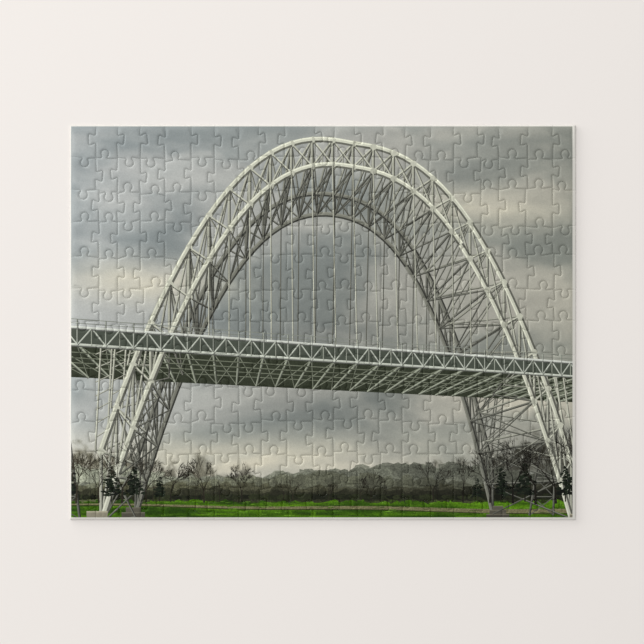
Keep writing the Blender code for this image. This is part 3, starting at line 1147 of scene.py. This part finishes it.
def block_face(name, first_column, first_row):
    """The printed faces of a block's six pieces, as one mesh."""
    points, triangles, inks, count = [], [], [], 0
    for row in range(first_row, first_row + BLOCK_ROWS):
        for column in range(first_column, first_column + BLOCK_COLUMNS):
            outline = inset(piece_outline(column, row), CUT_WIDTH / 2, at_border=False)
            places, corners, ink = printed_face(outline)
            heights = rolled_heights(outline, places)
            # Painted light: a small random brightening or darkening of this piece's whole print.
            tone = 1 + lay_of_pieces.uniform(-PAINTED_LIGHT_SPREAD, PAINTED_LIGHT_SPREAD)
            points.append(np.column_stack((places, heights)))
            triangles.append(corners + count)
            linear = from_printer(ink[..., :3]) * INK_LIGHT * tone
            inks.append(np.concatenate((linear, ink[..., 3:]), 2))
            count += len(places)
    mesh = bpy.data.meshes.new(name)
    mesh.from_pydata((np.vstack(points) * MM).tolist(), [], np.vstack(triangles).tolist())
    colours = mesh.color_attributes.new(PRINT_COLOURS, "FLOAT_COLOR", "CORNER")
    colours.data.foreach_set("color", np.vstack(inks).astype(np.float32).ravel())
    return mesh


def select_rims():
    """Selects the open edges in edit mode."""
    bpy.ops.mesh.select_mode(type="EDGE")
    bpy.ops.mesh.select_all(action="DESELECT")
    bpy.ops.mesh.select_non_manifold(
        extend=False, use_wire=False, use_multi_face=False, use_non_contiguous=False, use_verts=False
    )


def finish_walls(piece):
    """Extrudes the open rims down to the table, merges the walls' flat parts, fills in the backs."""
    printed = len(piece.data.polygons)
    bpy.ops.object.mode_set(mode="EDIT")
    select_rims()
    bpy.ops.mesh.mark_sharp()
    bpy.ops.mesh.extrude_edges_move()
    bpy.ops.transform.resize(value=(1, 1, 0), center_override=(0, 0, 0))
    bpy.ops.object.mode_set(mode="OBJECT")
    total = len(piece.data.polygons)
    piece.data.polygons.foreach_set("select", np.arange(total) >= printed)
    bpy.ops.object.mode_set(mode="EDIT")
    bpy.ops.mesh.select_mode(type="FACE")
    piece.active_material_index = CUT_SLOT
    bpy.ops.object.material_slot_assign()
    bpy.ops.mesh.dissolve_limited(angle_limit=math.radians(1), use_dissolve_boundaries=True)
    select_rims()
    bpy.ops.mesh.mark_sharp()
    bpy.ops.mesh.fill(use_beauty=False)
    bpy.ops.mesh.select_mode(type="FACE")
    piece.active_material_index = BACK_SLOT
    bpy.ops.object.material_slot_assign()
    bpy.ops.mesh.select_all(action="SELECT")
    bpy.ops.mesh.normals_make_consistent(inside=False)
    bpy.ops.object.mode_set(mode="OBJECT")
    bpy.ops.object.shade_smooth_by_angle(angle=math.radians(45))


finishes = (print_finish(), cut_edge_finish(), back_finish())
for letter, first_row in zip("fedcba", range(0, ROWS, BLOCK_ROWS)):
    for number, first_column in enumerate(range(0, COLUMNS, BLOCK_COLUMNS), start=1):
        node = f"pieces_{letter}{number}"
        piece = bpy.data.objects.new(f"cut_{node}", block_face(node, first_column, first_row))
        bpy.context.scene.collection.objects.link(piece)
        for finish in finishes:
            piece.data.materials.append(finish)
        bpy.ops.object.select_all(action="DESELECT")
        piece.select_set(True)
        bpy.context.view_layer.objects.active = piece
        finish_walls(piece)
        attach(piece, "root")
        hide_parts(node)

# The table
# A plain pale matt surface that reaches well past the view. The puzzle lies loose on it, held by
# its own weight.
TABLE_REACH = 8.0
TABLE_COLOUR = (0.783, 0.743, 0.708, 1.0)
bpy.ops.mesh.primitive_plane_add(size=TABLE_REACH, location=(0, 0, 0))
table = bpy.context.object
table.name = "pale_table"
table_finish, _, table_shader = plain_finish("pale_table", 0.9, 0.2)
table_shader.inputs["Base Color"].default_value = TABLE_COLOUR
table.data.materials.append(table_finish)

# The light
# A broad low bank at the upper left, whose soft shadows fall to the lower right, a box high above it,
# and an even studio all round.
LIGHT_TURN = math.radians(142)
SoftBox = namedtuple("SoftBox", "name distance rise size power")
BOXES = (
    SoftBox("low_bank", 4.0, math.radians(8), (6.2, 1.0), 254.0),
    SoftBox("high_box", 3.5, math.radians(62), (2.4, 2.4), 60.0),
)
STUDIO_LIGHT = 0.53
for box in BOXES:
    aside, up = box.distance * math.cos(box.rise), box.distance * math.sin(box.rise)
    place = Vector((aside * math.cos(LIGHT_TURN), aside * math.sin(LIGHT_TURN), up))
    facing = place.to_track_quat("Z", "Y").to_euler()
    bpy.ops.object.light_add(type="AREA", location=place, rotation=facing)
    light = bpy.context.object
    light.name = box.name
    light.data.shape = "RECTANGLE"
    light.data.size, light.data.size_y = box.size
    light.data.energy = box.power
studio = bpy.data.worlds.new("pale_studio")
studio.use_nodes = True
background = studio.node_tree.nodes["Background"]
background.inputs["Color"].default_value = (1.0, 1.0, 1.0, 1.0)
background.inputs["Strength"].default_value = STUDIO_LIGHT
bpy.context.scene.world = studio
bpy.context.scene.view_settings.view_transform = "Standard"

# The camera
# It looks straight down from high up through a long lens. The puzzle fills about three quarters of
# the frame's width, and its middle lies just off the frame's middle.
VIEW_WIDTH = 477.7
CAMERA_HEIGHT = 2.4
AIM = (-0.56, 0.30)
bpy.ops.object.camera_add(location=(AIM[0] * MM, AIM[1] * MM, CAMERA_HEIGHT), rotation=(0, 0, 0))
camera = bpy.context.object
camera.data.sensor_width = 36.0
camera.data.lens = camera.data.sensor_width * (CAMERA_HEIGHT - BOARD_THICKNESS * MM) / (VIEW_WIDTH * MM)
camera.data.clip_end = 50.0
bpy.context.scene.camera = camera
